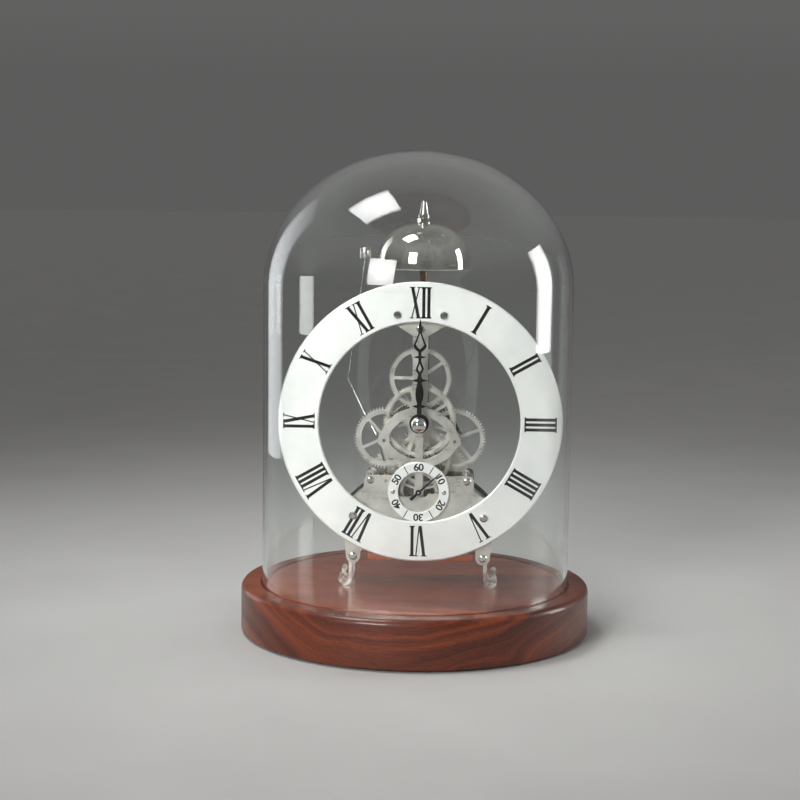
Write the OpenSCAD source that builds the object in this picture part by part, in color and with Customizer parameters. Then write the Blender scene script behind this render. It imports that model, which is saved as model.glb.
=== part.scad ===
// Skeleton clock with a passing bell strike, under a glass dome on a turned
// wood base. Millimetres. Origin at the centre of the underside, +Z up.
// The dial faces -Y. The movement is laid out round the hand axis.

/* [Base and dome] */
// Diameter of the turned wood base
base_d = 180; // [176:1:190]
// Height of the wood base above the felt
base_h = 24.5; // [22:0.5:28]
// Outside diameter of the glass dome
dome_d = 158.4; // [158:0.2:160]
// Thickness of the dome's glass
glass_t = 2.2; // [1.8:0.1:2.4]
// Height of the top of the dome above the underside
dome_top = 247.5; // [244:0.5:256]

/* [Dial] */
// Outside radius of the chapter ring
ring_r = 71; // [70:0.1:71.2]
// Inside radius of the chapter ring
ring_in = 50.7; // [50:0.1:52]
// Outside radius of the seconds dial
sec_r = 15.5; // [15:0.1:15.8]
// Inside radius of the seconds dial
sec_in = 10.3; // [9.8:0.1:10.5]

/* [Movement] */
// Height of the hand axis above the underside
hand_z = 111; // [111:0.5:112]
// Sideways place of the movement on the base
move_x = 2; // [0:0.25:2]
// Thickness of each plate
plate_t = 2; // [1.6:0.1:2]
// Thickness of the train wheels
wheel_t = 1.2; // [0.8:0.1:1.2]
// Part of the tooth pitch left free as play
play = 0.09; // [0.06:0.01:0.12]

/* [Strike] */
// Outside radius of the bell at its rim
bell_r = 24.2; // [22:0.1:24.4]
// Height of the bell
bell_h = 23.5; // [22:0.5:25]
// Radius of the hammer head
hammer_r = 2.9; // [2.4:0.1:3]

/* [Hidden] */

felt_h = 1;
top_z = felt_h + base_h;          // top face of the wood
groove_d = 3.5;                   // depth of the groove the dome stands in
dome_r = dome_d / 2;
dome_in = dome_r - glass_t;
crown_z = dome_top - 69.5;        // where the cylinder turns into the crown

// planes of the movement along Y, front to back
f0 = -18.5; f1 = f0 + plate_t;    // front plate
r0 = 8.5;   r1 = r0 + plate_t;    // rear plate
b0 = -4.9;  b1 = -3.4;            // middle bridge
ya = -15.8; yb = -13.6; yc = -11.4; yd = -9.4; ye = -7.6; yf = -2.6;

// wheel centres on the plates, measured from the hand axis
H = [0, 0];
MW = [0, 21.8];                   // minute wheel
S2 = [17.9, -9.8];                // second wheel
ST = [-17.9, -9.8];               // strike wheel
BA = [0, -33];                    // barrel
S4 = [0, -35.7];                  // seconds arbor

// tooth counts
n_can = 28; n_min = 70; n_mp = 15; n_hour = 72;
n_cp = 20; n_sec = 60; n_sp = 12; n_gr = 80;
n_cw = 80; n_tp = 10; n_tw = 75; n_fp = 10; n_fw = 64; n_ep = 8;

// modules
m_can = 2 * 21.8 / (n_can + n_min);
m_hour = 2 * 21.8 / (n_mp + n_hour);
m_sec = 2 * norm(S2) / (n_cp + n_sec);
m_gr = 2 * norm(S2 - BA) / (n_sp + n_gr);
m_cw = 0.45; m_tw = 0.37; m_fw = 0.3;

// third arbor: where the circles round the centre and seconds arbors cross
d1 = m_cw * (n_cw + n_tp) / 2;
d2 = m_tw * (n_tw + n_fp) / 2;
dd = norm(S4 - H);
ta = (dd * dd + d1 * d1 - d2 * d2) / (2 * dd);
TH = [sqrt(d1 * d1 - ta * ta), -ta];
// escape arbor, pallets and balance run down to the right
ESC = S4 + m_fw * (n_fw + n_ep) / 2 * [cos(-60), sin(-60)];
PAL = ESC + 8.4 * [cos(-20), sin(-20)];
BAL = PAL + 9.2 * [cos(-20), sin(-20)];
HM = [-16.6, -30.5];              // hammer arbor

function dir(a, b) = atan2(b[1] - a[1], b[0] - a[0]);
// phase of a wheel so that it meshes with one whose phase is p
function mesh(p, na, nb, t) = t + 180 - (na / nb) * (p - t) + 180 / nb;

p_cp = 0;                                         // centre pinion
p_sec = mesh(p_cp, n_cp, n_sec, dir(H, S2));
p_st = mesh(p_cp, n_cp, n_sec, dir(H, ST));
p_sp = 0;                                         // second pinion
p_gr = mesh(p_sp, n_sp, n_gr, dir(S2, BA));
p_can = 0;
p_min = mesh(p_can, n_can, n_min, dir(H, MW));
p_mp = 0;
p_hour = mesh(p_mp, n_mp, n_hour, dir(MW, H));
p_cw = 0;
p_tp = mesh(p_cw, n_cw, n_tp, dir(H, TH));
p_tw = 0;
p_fp = mesh(p_tw, n_tw, n_fp, dir(TH, S4));
p_fw = 0;
p_ep = mesh(p_fw, n_fw, n_ep, dir(S4, ESC));

// ---------- helpers ----------
// a flat shape drawn in X and Z round the hand axis, from plane y0 to y1
module slab(y0, y1, p = [0, 0]) translate([move_x + p[0], y1, hand_z + p[1]])
  rotate([90, 0, 0]) linear_extrude(y1 - y0) children();
// a round bar along Y at point p
module rod(p, r, y0, y1) translate([move_x + p[0], y1, hand_z + p[1]])
  rotate([90, 0, 0]) cylinder(r = r, h = y1 - y0, $fn = 32);
// a turned shape along Y; the profile's second axis runs to the front
module turned(p, y) translate([move_x + p[0], y, hand_z + p[1]])
  rotate([90, 0, 0]) rotate_extrude($fn = 32) children();
function unit(v) = v / norm(v);
// a wire of radius r along points p, as a tube with ten sides
module tube(p, r, n = 10) {
  N = len(p) - 1;
  t = [for (i = [0:N]) unit((i < N ? unit(p[i + 1] - p[i]) : [0, 0, 0])
    + (i > 0 ? unit(p[i] - p[i - 1]) : [0, 0, 0]))];
  polyhedron([for (i = [0:N]) let (u = unit(cross(t[i], [0, 1, 0.02])), v = cross(t[i], u))
      for (k = [0:n - 1]) p[i] + r * (cos(k * 360 / n) * u + sin(k * 360 / n) * v)],
    concat([[for (k = [0:n - 1]) k]], [[for (k = [n - 1:-1:0]) N * n + k]],
      [for (i = [0:N - 1], k = [0:n - 1]) let (j = (k + 1) % n)
        [i * n + k, (i + 1) * n + k, (i + 1) * n + j, i * n + j]]));
}
function w(p, y) = [move_x + p[0], y, hand_z + p[1]];
function twice_area(p) = [for (i = [0:len(p) - 1]) let (q = p[(i + 1) % len(p)])
  p[i][0] * q[1] - q[0] * p[i][1]] * [for (i = p) 1];
function rev(p) = [for (i = [len(p) - 1:-1:0]) p[i]];
// an outline whose points always run the same way round
module poly(p) polygon(twice_area(p) > 0 ? p : rev(p));
// a circle with flat sides, whose flats touch the radius
module pc(r, n = 24) polygon([for (i = [0:n - 1])
  r / cos(180 / n) * [cos((i + 0.5) * 360 / n), sin((i + 0.5) * 360 / n)]]);
// leaning of a tooth flank: an epicycloid rolled by half the mate's circle
function epi(R, q, r) = let (c = ((R + q) * (R + q) + q * q - r * r) / (2 * q * (R + q)),
  a = acos(min(1, max(-1, c))), t = a * q / R)
  atan2((R + q) * sin(t) - q * sin((R + q) / q * t),
        (R + q) * cos(t) - q * cos((R + q) / q * t));
function pol(r, a) = [r * cos(a), r * sin(a)];
// toothed disc: n teeth, module m, mate's teeth, addendum and dedendum
module gear(n, m, nm, ha, hd, ph) {
  R = n * m / 2; q = nm * m / 4; h = 90 / n * (1 - 2 * play);
  r1 = R + ha * m * 0.55; r2 = R + ha * m;
  e1 = epi(R, q, r1); e2 = min(epi(R, q, r2), h * 0.86);
  poly([for (i = [0:n - 1], p = [
    pol(R - hd * m, -h), pol(R, -h), pol(r1, -h + e1), pol(r2, -h + e2),
    pol(r2, h - e2), pol(r1, h - e1), pol(R, h), pol(R - hd * m, h)])
    let (a = ph + i * 360 / n)
    [p[0] * cos(a) - p[1] * sin(a), p[0] * sin(a) + p[1] * cos(a)]]);
}
module wheel_teeth(n, m, nm, ph) gear(n, m, nm, 0.95, 0.95, ph);
module pinion_teeth(n, m, nm, ph) gear(n, m, nm, 0.62, 1.22, ph);
// the open windows between five spokes
module windows(ri, rh, sw, a0, n = 5) for (k = [0:n - 1])
  rotate(a0 + 360 / n * (k + 0.5)) difference() {
    intersection() {
      difference() { pc(ri, 60); pc(rh, 30); }
      poly([[0, 0], pol(2 * ri, -180 / n), pol(2 * ri, 180 / n)]);
    }
    for (s = [-1, 1]) rotate(s * 180 / n) translate([0, -sw / 2])
      square([ri * 1.2, sw]);
  }
// a pan-head screw along Y: head at the front of y, shank behind it
module screw_f(p, y, rh, hh, rs, ls) {
  turned(p, y) difference() {
    poly([[0, 0], [rh, 0], [rh, hh * 0.45], [rh * 0.86, hh * 0.8],
      [rh * 0.55, hh], [0, hh]]);
  }
  if (ls > 0) rod(p, rs, y, y + ls);
}
module slotted_f(p, y, rh, hh, rs, ls, a = 30) difference() {
  screw_f(p, y, rh, hh, rs, ls);
  translate([move_x + p[0], y - hh, hand_z + p[1]]) rotate([0, a, 0])
    translate([-rh * 1.2, -0.2, -0.35]) cube([rh * 2.4, hh * 0.6 + 0.2, 0.7]);
}
module flip(y) translate([0, 2 * y, 0]) mirror([0, 1, 0]) children();

// ---------- base and dome ----------
module wood_base() color("saddlebrown") difference() {
  translate([0, 0, felt_h]) rotate_extrude($fn = 128) difference() {
    union() {
      square([base_d / 2 - 3.2, base_h]);
      square([base_d / 2, base_h - 3.2]);
      translate([base_d / 2 - 3.2, base_h - 3.2]) circle(r = 3.2, $fn = 40);
    }
    translate([dome_in - 0.8, base_h - groove_d]) square([glass_t + 1.6, 20]);
    translate([base_d / 2 - 1, -0.01]) poly([[0.01, 0], [2, 0], [2, 2]]);
  }
  for (s = [-1, 1], y = [f1 + 2.5, r0 - 2.4]) translate([move_x + s * 36.6, y, top_z - 5])
    cylinder(r = 0.8, h = 6, $fn = 24);
}
module felt_pad() color("darkgreen") difference() {
  cylinder(r = base_d / 2 - 3, h = felt_h, $fn = 96);
}
function crown(R, b, z, n) = [for (i = [0:n]) [R * cos(90 * i / n), z + b * sin(90 * i / n)]];
module glass_dome() color([0.8, 0.9, 0.9, 0.3]) rotate_extrude($fn = 128)
  poly(concat([[dome_in, top_z - groove_d + 0.3], [dome_r, top_z - groove_d + 0.3]],
    crown(dome_r, 69.5, crown_z, 30),
    [for (i = [30:-1:0]) crown(dome_in, 69.5 - glass_t, crown_z, 30)[i]]));

// ---------- dial ----------
RS = [[-11.6, 54.3], [11.6, 54.3], [-33.1, -48], [33.1, -48]];
SS = [[-12.9, -35.7], [12.9, -35.7]];
y_ring = -22;
module chapter_ring() color("gainsboro") difference() {
  turned(H, y_ring + 1.2) poly([[ring_in, 0], [ring_r, 0],
    [ring_r, 0.75], [ring_r - 0.7, 1.2], [ring_in + 0.6, 1.2], [ring_in, 0.8]]);
  for (p = RS) rod(p, 1.1, -24, -18);
}
module dial_spacers() color("silver") for (p = RS) difference() {
  rod(p, 2.4, y_ring + 1.2, f0);
  rod(p, 1.1, -24, -18);
}
module dial_screws() color("silver") for (i = [0:3])
  slotted_f(RS[i], y_ring, 2.1, 1.5, 1.1, i < 2 ? 5.4 : 9, [35, -40, 60, 20][i]);
module seconds_dial() color("gainsboro") difference() {
  turned(S4, -19.6) poly([[sec_in, 0], [sec_r, 0], [sec_r, 0.5],
    [sec_r - 0.3, 0.8], [sec_in + 0.3, 0.8], [sec_in, 0.5]]);
  for (p = SS) rod(p, 0.6, -22, -18);
}
module seconds_dial_screws() color("silver") for (p = SS) {
  difference() { rod(p, 1.5, -19.6, f0); rod(p, 0.6, -20, -18); }
  screw_f(p, -20.4, 1.15, 0.45, 0.6, 3);
}

// ---------- hands ----------
// small cross-bar with pointed ends
module crossbar(z, l, t) poly([[-l, z], [-l * 0.5, z + t], [0, z + t * 1.5],
  [l * 0.5, z + t], [l, z], [l * 0.5, z - t], [0, z - t * 1.5], [-l * 0.5, z - t]]);
module lozenge(z0, z1, zm, wd) poly([[0, z0], [wd * 0.72, z0 + (zm - z0) * 0.55],
  [wd, zm], [wd * 0.62, zm + (z1 - zm) * 0.36], [0, z1],
  [-wd * 0.62, zm + (z1 - zm) * 0.36], [-wd, zm], [-wd * 0.72, z0 + (zm - z0) * 0.55]]);
module leaf() poly([[-0.9, 9.6], [-1.7, 12], [-2.05, 14.5], [-1.9, 17], [-1.1, 20.6],
  [1.1, 20.6], [1.9, 17], [2.05, 14.5], [1.7, 12], [0.9, 9.6]]);
module minute_hand() color("black") slab(-27.2, -26.6) difference() {
  union() {
    circle(r = 4.3, $fn = 40);
    translate([-1.1, 3.5]) square([2.2, 20.5]);
    translate([-0.75, 20]) square([1.5, 19]);
    lozenge(24.2, 32.6, 27.6, 2.0);
    crossbar(33.7, 3.3, 0.45);
    lozenge(35.6, 47.8, 39.2, 3.35);
    poly([[-1.0, 46], [-0.6, 50], [0, 53], [0.6, 50], [1.0, 46]]);
  }
  circle(r = 2.0, $fn = 32);
  lozenge(26, 30.4, 27.9, 0.95);
  lozenge(37.6, 45.6, 40, 2.1);
}
module hour_hand() color("black") slab(-25.5, -24.9) difference() {
  union() {
    circle(r = 4.9, $fn = 40);
    translate([-1.2, 4]) square([2.4, 7]);
    crossbar(8.7, 3.6, 0.7);
    leaf();
    crossbar(21.8, 4.1, 0.6);
    translate([-0.8, 20]) square([1.6, 5.5]);
    lozenge(24.2, 33.6, 27.6, 2.05);
  }
  circle(r = 3.0, $fn = 32);
  lozenge(26, 30.4, 27.9, 0.95);
}
sec_a = -47;
module seconds_hand() color("black") slab(-22.1, -21.7, S4) difference() {
  rotate(sec_a) union() {
    poly([[-0.55, 0], [-0.2, 14.6], [0.2, 14.6], [0.55, 0]]);
    poly([[-0.5, 0], [-0.95, -5.4], [0.95, -5.4], [0.5, 0]]);
    circle(r = 1.5, $fn = 32);
  }
  circle(r = 0.55, $fn = 32);
}
module hand_nut() color("silver") difference() {
  turned(H, -27.2) difference() {
    union() {
      square([2.9, 1.2]);
      intersection() {
        translate([0, 3.4]) circle(r = 3.8, $fn = 48);
        translate([0, 0.6]) square([5, 8]);
      }
    }
    translate([-6, -1]) square([6, 12]);
  }
  rod(H, 1.2, -30.2, -20);
}

// ---------- plates ----------
module lens(k) intersection() {
  translate([0, -13.6]) circle(r = 20.9 - k, $fn = 96);
  translate([0, -1]) circle(r = 22.5 - k, $fn = 96);
}
HALF = [[0, -25], [0, -58], [24, -58], [29.2, -62], [29.4, -69.5],
  [36.6, -69.5], [37.4, -62], [39, -50], [38.4, -44], [32.4, -38.2], [27.9, -34.7],
  [27.9, -30], [27.2, -28.3], [25.5, -27.7], [12, -27.7], [12, -25]];
module outline(window) difference() {
  union() {
    poly([[-15.6, 58], [15.6, 58], [17.4, 52.6], [13.6, 49.6], [3.85, 43.6],
      [3.85, 4], [-3.85, 4], [-3.85, 43.6], [-13.6, 49.6], [-17.4, 52.6]]);
    difference() { lens(0); lens(4.4); }
    translate([-2, -24]) square([4, 22]);
    for (s = [-1, 1]) translate([s * 18, -9.8]) circle(r = 3.1, $fn = 40);
    circle(r = 6.1, $fn = 48);
    translate(S4) circle(r = 14.9, $fn = 64);
    poly(concat([for (q = HALF) if (q[0] > 0) q], [for (q = rev(HALF)) if (q[0] > 0) [-q[0], q[1]]]));
    for (s = [-1, 1]) translate([s * 33, -69.5]) circle(r = 3.6, $fn = 40);
  }
  if (window) difference() {
    translate(S4) circle(r = 10.7, $fn = 64);
    translate([-12, -60]) square([24, 21.4]);
    translate([-12, -39]) poly([[0, 0], [24, 0], [24, 2.2], [17, 2.2], [15.5, 0.6], [0, 0.6]]);
    translate([-2, -35.7]) square([4, 12]);
    translate(S4) circle(r = 2.5, $fn = 32);
  }
}
PP = [[-33.1, -48], [33.1, -48], [0, 47]];        // main pillars
BP = [[-24.5, -30.1], [24.5, -30.1]];             // bridge pillars
LG = [[-33, -69.5], [33, -69.5]];                 // leg screws
module front_plate() color("silver") difference() {
  slab(f0, f1) outline(true);
  for (p = concat(PP, BP, LG, LB)) rod(p, 1.1, f0 - 1, f1 + 1);
  for (p = [RS[0], RS[1]]) rod(p, 1.1, f0 - 1, f1 + 1);
  rod(H, 3.08, f0 - 1, f1 + 1);
  rod(MW, 1.2, f0 - 1, f1 + 1);
  for (p = [S2, ST]) rod(p, 0.95, f0 - 1, f1 + 1);
  rod(S4, 0.95, f0 - 1, f1 + 1);
  for (p = [TH, ESC, PAL, BAL]) rod(p, 0.6, f0 + 0.7, f1 + 1);
  rod(HM, 0.95, f0 - 1, f1 + 1);
  for (p = SS) rod(p, 0.6, f0 - 1, f1 + 1);
}
module bridge2() poly([[-12, -18], [-9, -16.5], [7, -16.5], [11.5, -19.5], [13.6, -26.2], [15, -27.2],
  [26, -27.2], [27.4, -28.6], [27.4, -34.9], [32, -38.6], [37.6, -44.2], [38, -50],
  [33, -56], [26, -58], [-26, -58], [-33, -56], [-38, -50], [-37.6, -44.2],
  [-32, -38.6], [-27.4, -34.9], [-27.4, -28.6], [-26, -27.2], [-14.5, -27.2], [-12.3, -24.6]]);
module middle_bridge() color("silver") difference() {
  slab(b0, b1) difference() {
    bridge2();
    for (s = [-1, 1]) translate([s * 15, -41.5]) circle(r = 4.2, $fn = 32);
  }
  for (p = [PP[0], PP[1]]) rod(p, 2.2, b0 - 1, b1 + 1);
  for (p = BP) rod(p, 1.1, b0 - 1, b1 + 1);
  for (p = [TH, S4, ESC, PAL, BAL]) rod(p, 0.6, b0 - 1, b1 + 1);
  rod(HM, 0.95, b0 - 1, b1 + 1);
  rod(BA, 1.55, b0 - 1, b1 + 1);
}
module rear_plate() color("silver") difference() {
  slab(r0, r1) outline(false);
  for (p = concat(PP, LG)) rod(p, 1.1, r0 - 1, r1 + 1);
  for (p = [S2, ST, H]) rod(p, 0.95, r0 - 1, r1 + 1);
  rod(BA, 2.05, r0 - 1, r1 + 1);
  rod([0, 54], 1.1, r0 - 1, r1 + 1);
  rod(CK, 1.1, r0 - 1, r1 + 1);
}
module plate_pillars() color("silver") for (i = [0:2]) difference() {
  union() {
    if (i < 2) {
      rod(PP[i], 3, f1, b0);
      rod(PP[i], 2.2, b0, b1);
      rod(PP[i], 3, b1, r0);
    } else {
      rod(PP[i], 3.4, f1, f1 + 2.5);
      rod(PP[i], 2.5, f1 + 2.5, r0 - 2.5);
      rod(PP[i], 3.4, r0 - 2.5, r0);
    }
  }
  rod(PP[i], 1.1, f1 - 1, f1 + 6);
  rod(PP[i], 1.1, r0 - 6, r0 + 1);
}
module bridge_pillars() color("silver") {
  for (p = BP) difference() {
    rod(p, 2.3, f1, b0);
    rod(p, 1.1, f1 - 1, b0 + 1);
  }
  rod(BAL + [6.95, 0], 0.5, f1, -13.4);     // stud of the hairspring
}
LB = [[-14, -55.5], [14, -55.5]];                 // screws of the lower bar
module plate_screws() color("silver") {
  for (p = BP) slotted_f(p, f0, 2.0, 1.3, 1.1, 6, p[0]);
  slotted_f(PP[2], f0, 2.2, 1.3, 1.1, 6, 12);
  for (i = [0, 1]) flip(r1) slotted_f(PP[i], r1, 2.2, 1.3, 1.1, 6, PP[i][0]);
  flip(r1 + 2) slotted_f(PP[2], r1 + 2, 2.2, 1.3, 1.1, 7, 15);
  flip(r1 + 2) slotted_f([0, 54], r1 + 2, 2.0, 1.2, 1.1, 3.9, 65);
  for (p = BP) flip(b1) slotted_f(p, b1, 1.8, 0.5, 1.1, 4.9, p[0]);
  for (p = LB) flip(f1 + 1.5) slotted_f(p, f1 + 1.5, 1.9, 0.9, 1.1, 3.4, p[0]);
  // pivot screw of the click and the screw that holds its spring
  flip(r1 + 2.1) slotted_f(CK, r1 + 2.1, 2.1, 0.9, 1.1, 3.9, 20);
  flip(r1 + 1.7) slotted_f(BA + [17.8, 2.3], r1 + 1.7, 1.6, 0.9, 0.7, 0, 50);
}
module lower_bar() color("peru") slab(f1, f1 + 1.5) difference() {
  union() {
    translate([-24.4, -71.5]) square([50.6, 3]);
    for (x = [-24.4, 26.2]) translate([x, -70]) circle(r = 1.5, $fn = 32);
    for (p = LB) {
      translate([p[0] - 3, -70]) square([6, 14.5]);
      translate(p) circle(r = 3, $fn = 32);
    }
  }
  for (p = LB) translate(p) circle(r = 1.1, $fn = 32);
}

// ---------- legs ----------
foot_z = top_z - hand_z;          // face the feet stand on
module leg2() {
  // flat tab behind the plate, thin strip and outward scroll
  z0 = foot_z + 3.4;
  translate([33.6, z0]) square([1.7, -69.5 - z0]);
  translate([37, z0]) intersection() {
    difference() { circle(r = 3.4, $fn = 48); circle(r = 1.7, $fn = 48); }
    translate([-4, -4]) square([8, 4]);
  }
  translate([38.7, z0]) square([1.7, 1.2]);
  translate([39.0, z0 + 1.2]) circle(r = 1.4, $fn = 32);
}
module legs(y0, y1, yt0, yt1) for (s = [0, 1]) mirror_x(s) difference() {
  union() {
    slab(y0, y1) leg2();
    slab(yt0, yt1) union() {
      translate([33, -69.5]) circle(r = 3.45, $fn = 40);
      translate([33.6, -77]) square([1.7, 8]);
      translate([29.5, -69.5]) square([7, 9]);
    }
    // pad under the scroll takes the foot screw
    translate([move_x + 36.6, (y0 + y1) / 2, top_z]) cylinder(r = 2.3, h = 1.2, $fn = 32);
  }
  rod(LG[1], 1.1, -30, 30);
  translate([move_x + 36.6, (y0 + y1) / 2, top_z - 1]) cylinder(r = 0.8, h = 6, $fn = 24);
}
module mirror_x(s) translate([2 * move_x * s, 0, 0]) mirror([s, 0, 0]) children();
module front_legs() color("silver") legs(f1, f1 + 5, f1, f1 + 1.5);
module rear_legs() color("silver") legs(r0 - 4.8, r0, r0 - 1.5, r0);
module leg_screws() color("silver") for (p = LG) {
  slotted_f(p, f0, 2.1, 1.3, 1.1, 5.2, p[0]);
  flip(r1) slotted_f(p, r1, 2.1, 1.3, 1.1, 5.2, p[0]);
}
module foot_screws() color("silver")
  for (s = [-1, 1], y = [f1 + 2.5, r0 - 2.4]) translate([move_x + s * 36.6, y, top_z - 4.5])
    cylinder(r = 0.8, h = 6.2, $fn = 24);

// ---------- bell ----------
bell_y = 11.5;
bell_z = 187;                     // rim of the bell
function sup(R, h, n, k) = [for (i = [0:n]) let (t = 90 * i / n)
  [R * pow(cos(t), 2 / k), h * pow(sin(t), 2 / k)]];
module bell() color("silver") translate([move_x, bell_y, bell_z]) rotate_extrude($fn = 96)
  poly(concat([for (p = sup(bell_r, bell_h, 20, 2.45)) if (p[0] > 1.6) p],
    [[1.6, bell_h]], [[1.6, bell_h - 1]],
    [for (i = [20:-1:0]) let (p = sup(bell_r - 1, bell_h - 1, 20, 2.45)[i]) if (p[0] > 1.6) p]));
module bell_post() color("dimgray") difference() {
  union() {
    translate([move_x, bell_y, hand_z + 58.6]) cylinder(r = 2, h = bell_z + bell_h - 1.2 - hand_z - 58.6, $fn = 32);
    translate([move_x, bell_y, bell_z + bell_h - 1.3]) cylinder(r = 1.6, h = 6.3, $fn = 32);
    slab(r1, r1 + 2) poly([[-3, 40], [3, 40], [3, 60], [2, 62], [-2, 62], [-3, 60]]);
  }
  for (z = [47, 54]) rod([0, z], 1.1, r0 - 1, r1 + 5);
}
module bell_nut() color("silver") translate([move_x, bell_y, bell_z + bell_h]) difference() {
  union() {
    cylinder(r = 3.3, h = 0.6, $fn = 40);
    translate([0, 0, 0.6]) cylinder(r = 3.35, h = 1.9, $fn = 6);
    rotate_extrude($fn = 40) poly([[0, 2.4], [2.4, 2.4], [3.0, 2.9], [3.0, 4.4], [2.5, 4.9],
      [2.4, 5.2], [1.35, 10.9], [0.9, 11.5], [0, 11.5]]);
  }
  translate([0, 0, -1]) cylinder(r = 1.6, h = 6, $fn = 32);
}

// ---------- hammer ----------
hy = -5.7;                        // plane of the hammer's hub and tail
hh_x = -bell_r - hammer_r - 3.0;  // head rests a little clear of the bell
HP = [w(HM + [-0.4, 2.2], hy), w([-17.4, -26.2], -5.5), w([-17.9, -24.4], -4.3),
  w([-22.7, -8.6], -3.8), w([-28.6, 0.8], 0), w([-38.3, 19.4], 4),
  [move_x + hh_x, bell_y, bell_z + 5.5]];
module hammer_arbor() color("silver") union() {
  rod(HM, 0.9, f0 + 0.3, b1 - 0.2);
  rod(HM, 1.4, f1 + 0.3, b0 - 0.3);
}
module hammer_arm() color("silver") difference() {
  union() {
    slab(hy - 0.5, hy + 0.5) difference() {
      union() {
        translate(HM) circle(r = 2.6, $fn = 32);
        poly([HM + [-2.2, -1.2], HM + [-14.2, 15.0], HM + [-15.0, 17.0],
          HM + [-14.0, 17.0], HM + [0.6, 2.2]]);
      }
      translate(ST) circle(r = 14.25, $fn = 64);
    }
    rod(HM, 2.2, hy - 3.5, hy - 0.2);
    tube(HP, 0.45);
  }
  rod(HM, 1.4, -30, 0);
}
module hammer_head() color("silver") difference() {
  translate([HP[6][0], bell_y, HP[6][2] - 0.5]) union() {
    cylinder(r = hammer_r, h = 5, $fn = 40);
    translate([0, 0, 5]) cylinder(r1 = hammer_r, r2 = hammer_r - 0.8, h = 0.8, $fn = 40);
  }
  tube([HP[5], HP[6]], 0.46);
}
// flat strip wound in a spiral, drawn as one closed outline
module spiral(r0s, r1s, turns, t, n = 20, a0 = 0) {
  N = n * turns;
  poly(concat(
    [for (i = [0:N]) pol(r0s + (r1s - r0s) * i / N, a0 + 360 * i / n)],
    [for (i = [N:-1:0]) pol(r0s + (r1s - r0s) * i / N + t, a0 + 360 * i / n)]));
}
module hammer_spring() color("gold") slab(-14.6, -13.9, HM) {
  spiral(1.75, 2.9, 2, 0.25, 16, 90);
  poly([[-0.3, 2.9], [-5.5, 0.9], [-5.5, 0.5], [0.1, 2.9]]);
}

// ---------- barrel ----------
module great_wheel() color("silver") slab(yf, yf + 1.6, BA) difference() {
  wheel_teeth(n_gr, m_gr, n_sp, p_gr); pc(2.05, 24);
}
module barrel_drum() color("silver") slab(yf + 1.6, 6.5, BA) difference() {
  circle(r = 22.4, $fn = 96); circle(r = 21.4, $fn = 96);
}
module barrel_cover() color("silver") slab(6.5, 7.5, BA) difference() {
  circle(r = 22.4, $fn = 96); circle(r = 2.05, $fn = 32);
}
module mainspring() color("steelblue") slab(-0.6, 6.1, BA)
  spiral(2.3, 20.6, 9, 0.45, 20, 0);
module barrel_arbor() color("silver") union() {
  rod(BA, 1.5, b0 + 0.1, b1);
  rod(BA, 1.98, b1 + 0.2, r1 + 3.4);
  rod(BA, 1.5, b1, b1 + 0.2);
  slab(r1 + 3.4, r1 + 11, BA) square([2.7, 2.7], center = true);
}
RT = 8.2;
module ratchet2() poly([for (i = [0:23], p = [pol(RT - 1.3, 0.8), pol(RT, 1.6), pol(RT - 1.25, 14.4)])
  let (a = i * 15) [p[0] * cos(a) - p[1] * sin(a), p[0] * sin(a) + p[1] * cos(a)]]);
module ratchet_wheel() color("silver") slab(r1 + 0.4, r1 + 1.8, BA) difference() {
  ratchet2(); pc(1.98, 24);
}
CK = BA + [10.8, -5.7];
module click() color("silver") slab(r1 + 0.4, r1 + 1.8, BA) difference() {
  union() {
    translate(CK - BA) circle(r = 2.3, $fn = 32);
    poly([pol(7.2, 15.25), pol(8.35, 8.5), pol(8.7, -3), CK - BA + [-2.25, 0.4],
      CK - BA + [2.0, 1.1], pol(10.9, 2), pol(8.6, 15.75)]);
  }
  translate(CK - BA) circle(r = 1.15, $fn = 32);
}
module click_spring() color("steelblue") slab(r1 + 0.5, r1 + 1.7, BA) union() {
  translate([17.8, 2.3]) circle(r = 1.8, $fn = 32);
  poly([[17, 4], [11.2, 3.0], [9.95, 1.8], [9.98, 1.35], [11.4, 2.6], [17, 3.2]]);
}

// ---------- train ----------
module second_wheel() color("silver") slab(ye, ye + wheel_t, S2) difference() {
  wheel_teeth(n_sec, m_sec, n_cp, p_sec);
  windows(12.9, 3.3, 1.5, 21); pc(1.3, 16);
}
module second_arbor() color("silver") difference() {
  union() {
    rod(S2, 0.9, f0 + 0.3, r1 - 0.3);
    rod(S2, 1.3, f1 + 0.3, r0 - 0.3);
    slab(yf - 0.3, yf + 1.9, S2) pinion_teeth(n_sp, m_gr, n_gr, p_sp);
  }
}
module strike_wheel() color("silver") difference() {
  slab(ye, ye + wheel_t, ST) difference() {
    wheel_teeth(n_sec, m_sec, n_cp, p_st);
    windows(12.2, 3.3, 1.5, 132.5); pc(1.3, 16);
  }
  for (k = [0:5]) rod(ST + pol(13.3, 60 * k + 14), 0.5, ye + 0.4, 0);
}
module strike_arbor() color("silver") union() {
  rod(ST, 0.9, f0 + 0.3, r1 - 0.3);
  rod(ST, 1.3, f1 + 0.3, r0 - 0.3);
}
module strike_pins() color("silver") for (k = [0:5])
  rod(ST + pol(13.3, 60 * k + 14), 0.5, ye + 0.4, hy + 0.4);
module centre_wheel() color("silver") slab(yc, yc + wheel_t, H) difference() {
  wheel_teeth(n_cw, m_cw, n_tp, p_cw);
  windows(15.2, 3.6, 1.5, 52); pc(1.6, 16);
}
module centre_arbor() color("silver") union() {
  rod(H, 1.2, -30.2, -11.4);
  rod(H, 1.6, yc, r0 - 0.3);
  rod(H, 0.9, r0 - 0.3, r1 - 0.2);
  slab(ye - 0.3, ye + wheel_t + 0.3, H) pinion_teeth(n_cp, m_sec, n_sec, p_cp);
}
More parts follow.
